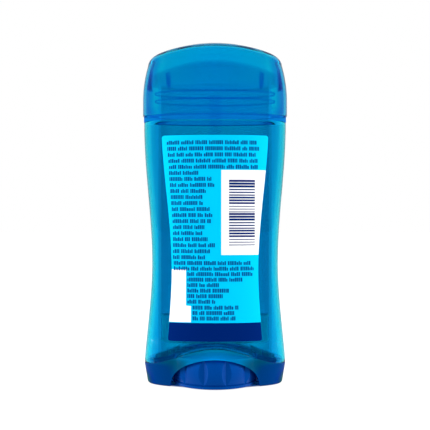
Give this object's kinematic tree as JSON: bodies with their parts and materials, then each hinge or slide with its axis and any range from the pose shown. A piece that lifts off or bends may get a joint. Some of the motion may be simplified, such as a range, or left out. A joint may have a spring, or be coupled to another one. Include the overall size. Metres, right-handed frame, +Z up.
{
  "type": "deodorant stick",
  "caption": "Waisted oval clear-gel deodorant stick with a see-through domed cap, a perforated applicator, a back label and a ribbed hand wheel that raises the gel.",
  "frame": {"origin": "middle of the pack on the plane it stands on", "axes": "+Z up through the cap, +X across the pack's width, -Y towards the side with the label"},
  "size_m": [0.0658, 0.0426, 0.1544],
  "materials": {
    "cap_tint": "polished clear blue polypropylene, injection moulded",
    "seal_clear": "thin clear polypropylene, injection moulded",
    "applicator_plastic": "natural polypropylene, injection moulded",
    "barrel_blue": "royal-blue clear polypropylene, injection moulded",
    "gel_clear": "clear soft gel",
    "lift_white": "white polyethylene, injection moulded",
    "screw_clear": "natural clear polypropylene, injection moulded",
    "wheel_blue": "deep blue polypropylene, injection moulded",
    "shell_tint": "polished clear cyan-blue polypropylene, injection moulded",
    "base_tint": "clear deep-blue polypropylene, injection moulded",
    "label_cyan": "cyan printed film label",
    "label_white": "white printed field",
    "label_navy": "navy printed field"
  },
  "bodies": {
    "barrel": {"outer_shell": "shell_tint", "inner_barrel": "barrel_blue", "base_skirt": "base_tint", "applicator_head": "applicator_plastic", "inner_seal": "seal_clear", "gel": "gel_clear", "back_label": "label_cyan", "label_white_print": "label_white", "label_navy_band": "label_navy", "label_barcode": "label_navy"},
    "cap": {"cap": "cap_tint"},
    "wheel": {"dial": "wheel_blue", "feed_screw": "screw_clear"},
    "platform": {"elevator": "lift_white"}
  },
  "joints": [
    {"name": "cap_lift", "type": "slide", "parent": "barrel", "child": "cap", "axis": [0, 0, 1], "range_m": [0, 0.04]},
    {"name": "wheel_turn", "type": "hinge", "parent": "barrel", "child": "wheel", "pos_m": [0, 0, 0], "axis": [0, 0, 1], "range_deg": [0, 11520]},
    {"name": "platform_rise", "type": "slide", "parent": "barrel", "child": "platform", "axis": [0, 0, 1], "range_m": [0, 0.1025], "deforming": ["gel"]}
  ],
  "couplings": [
    {"joint": "platform_rise", "follows": "wheel_turn", "m_per_rad": 0.0005093}
  ]
}
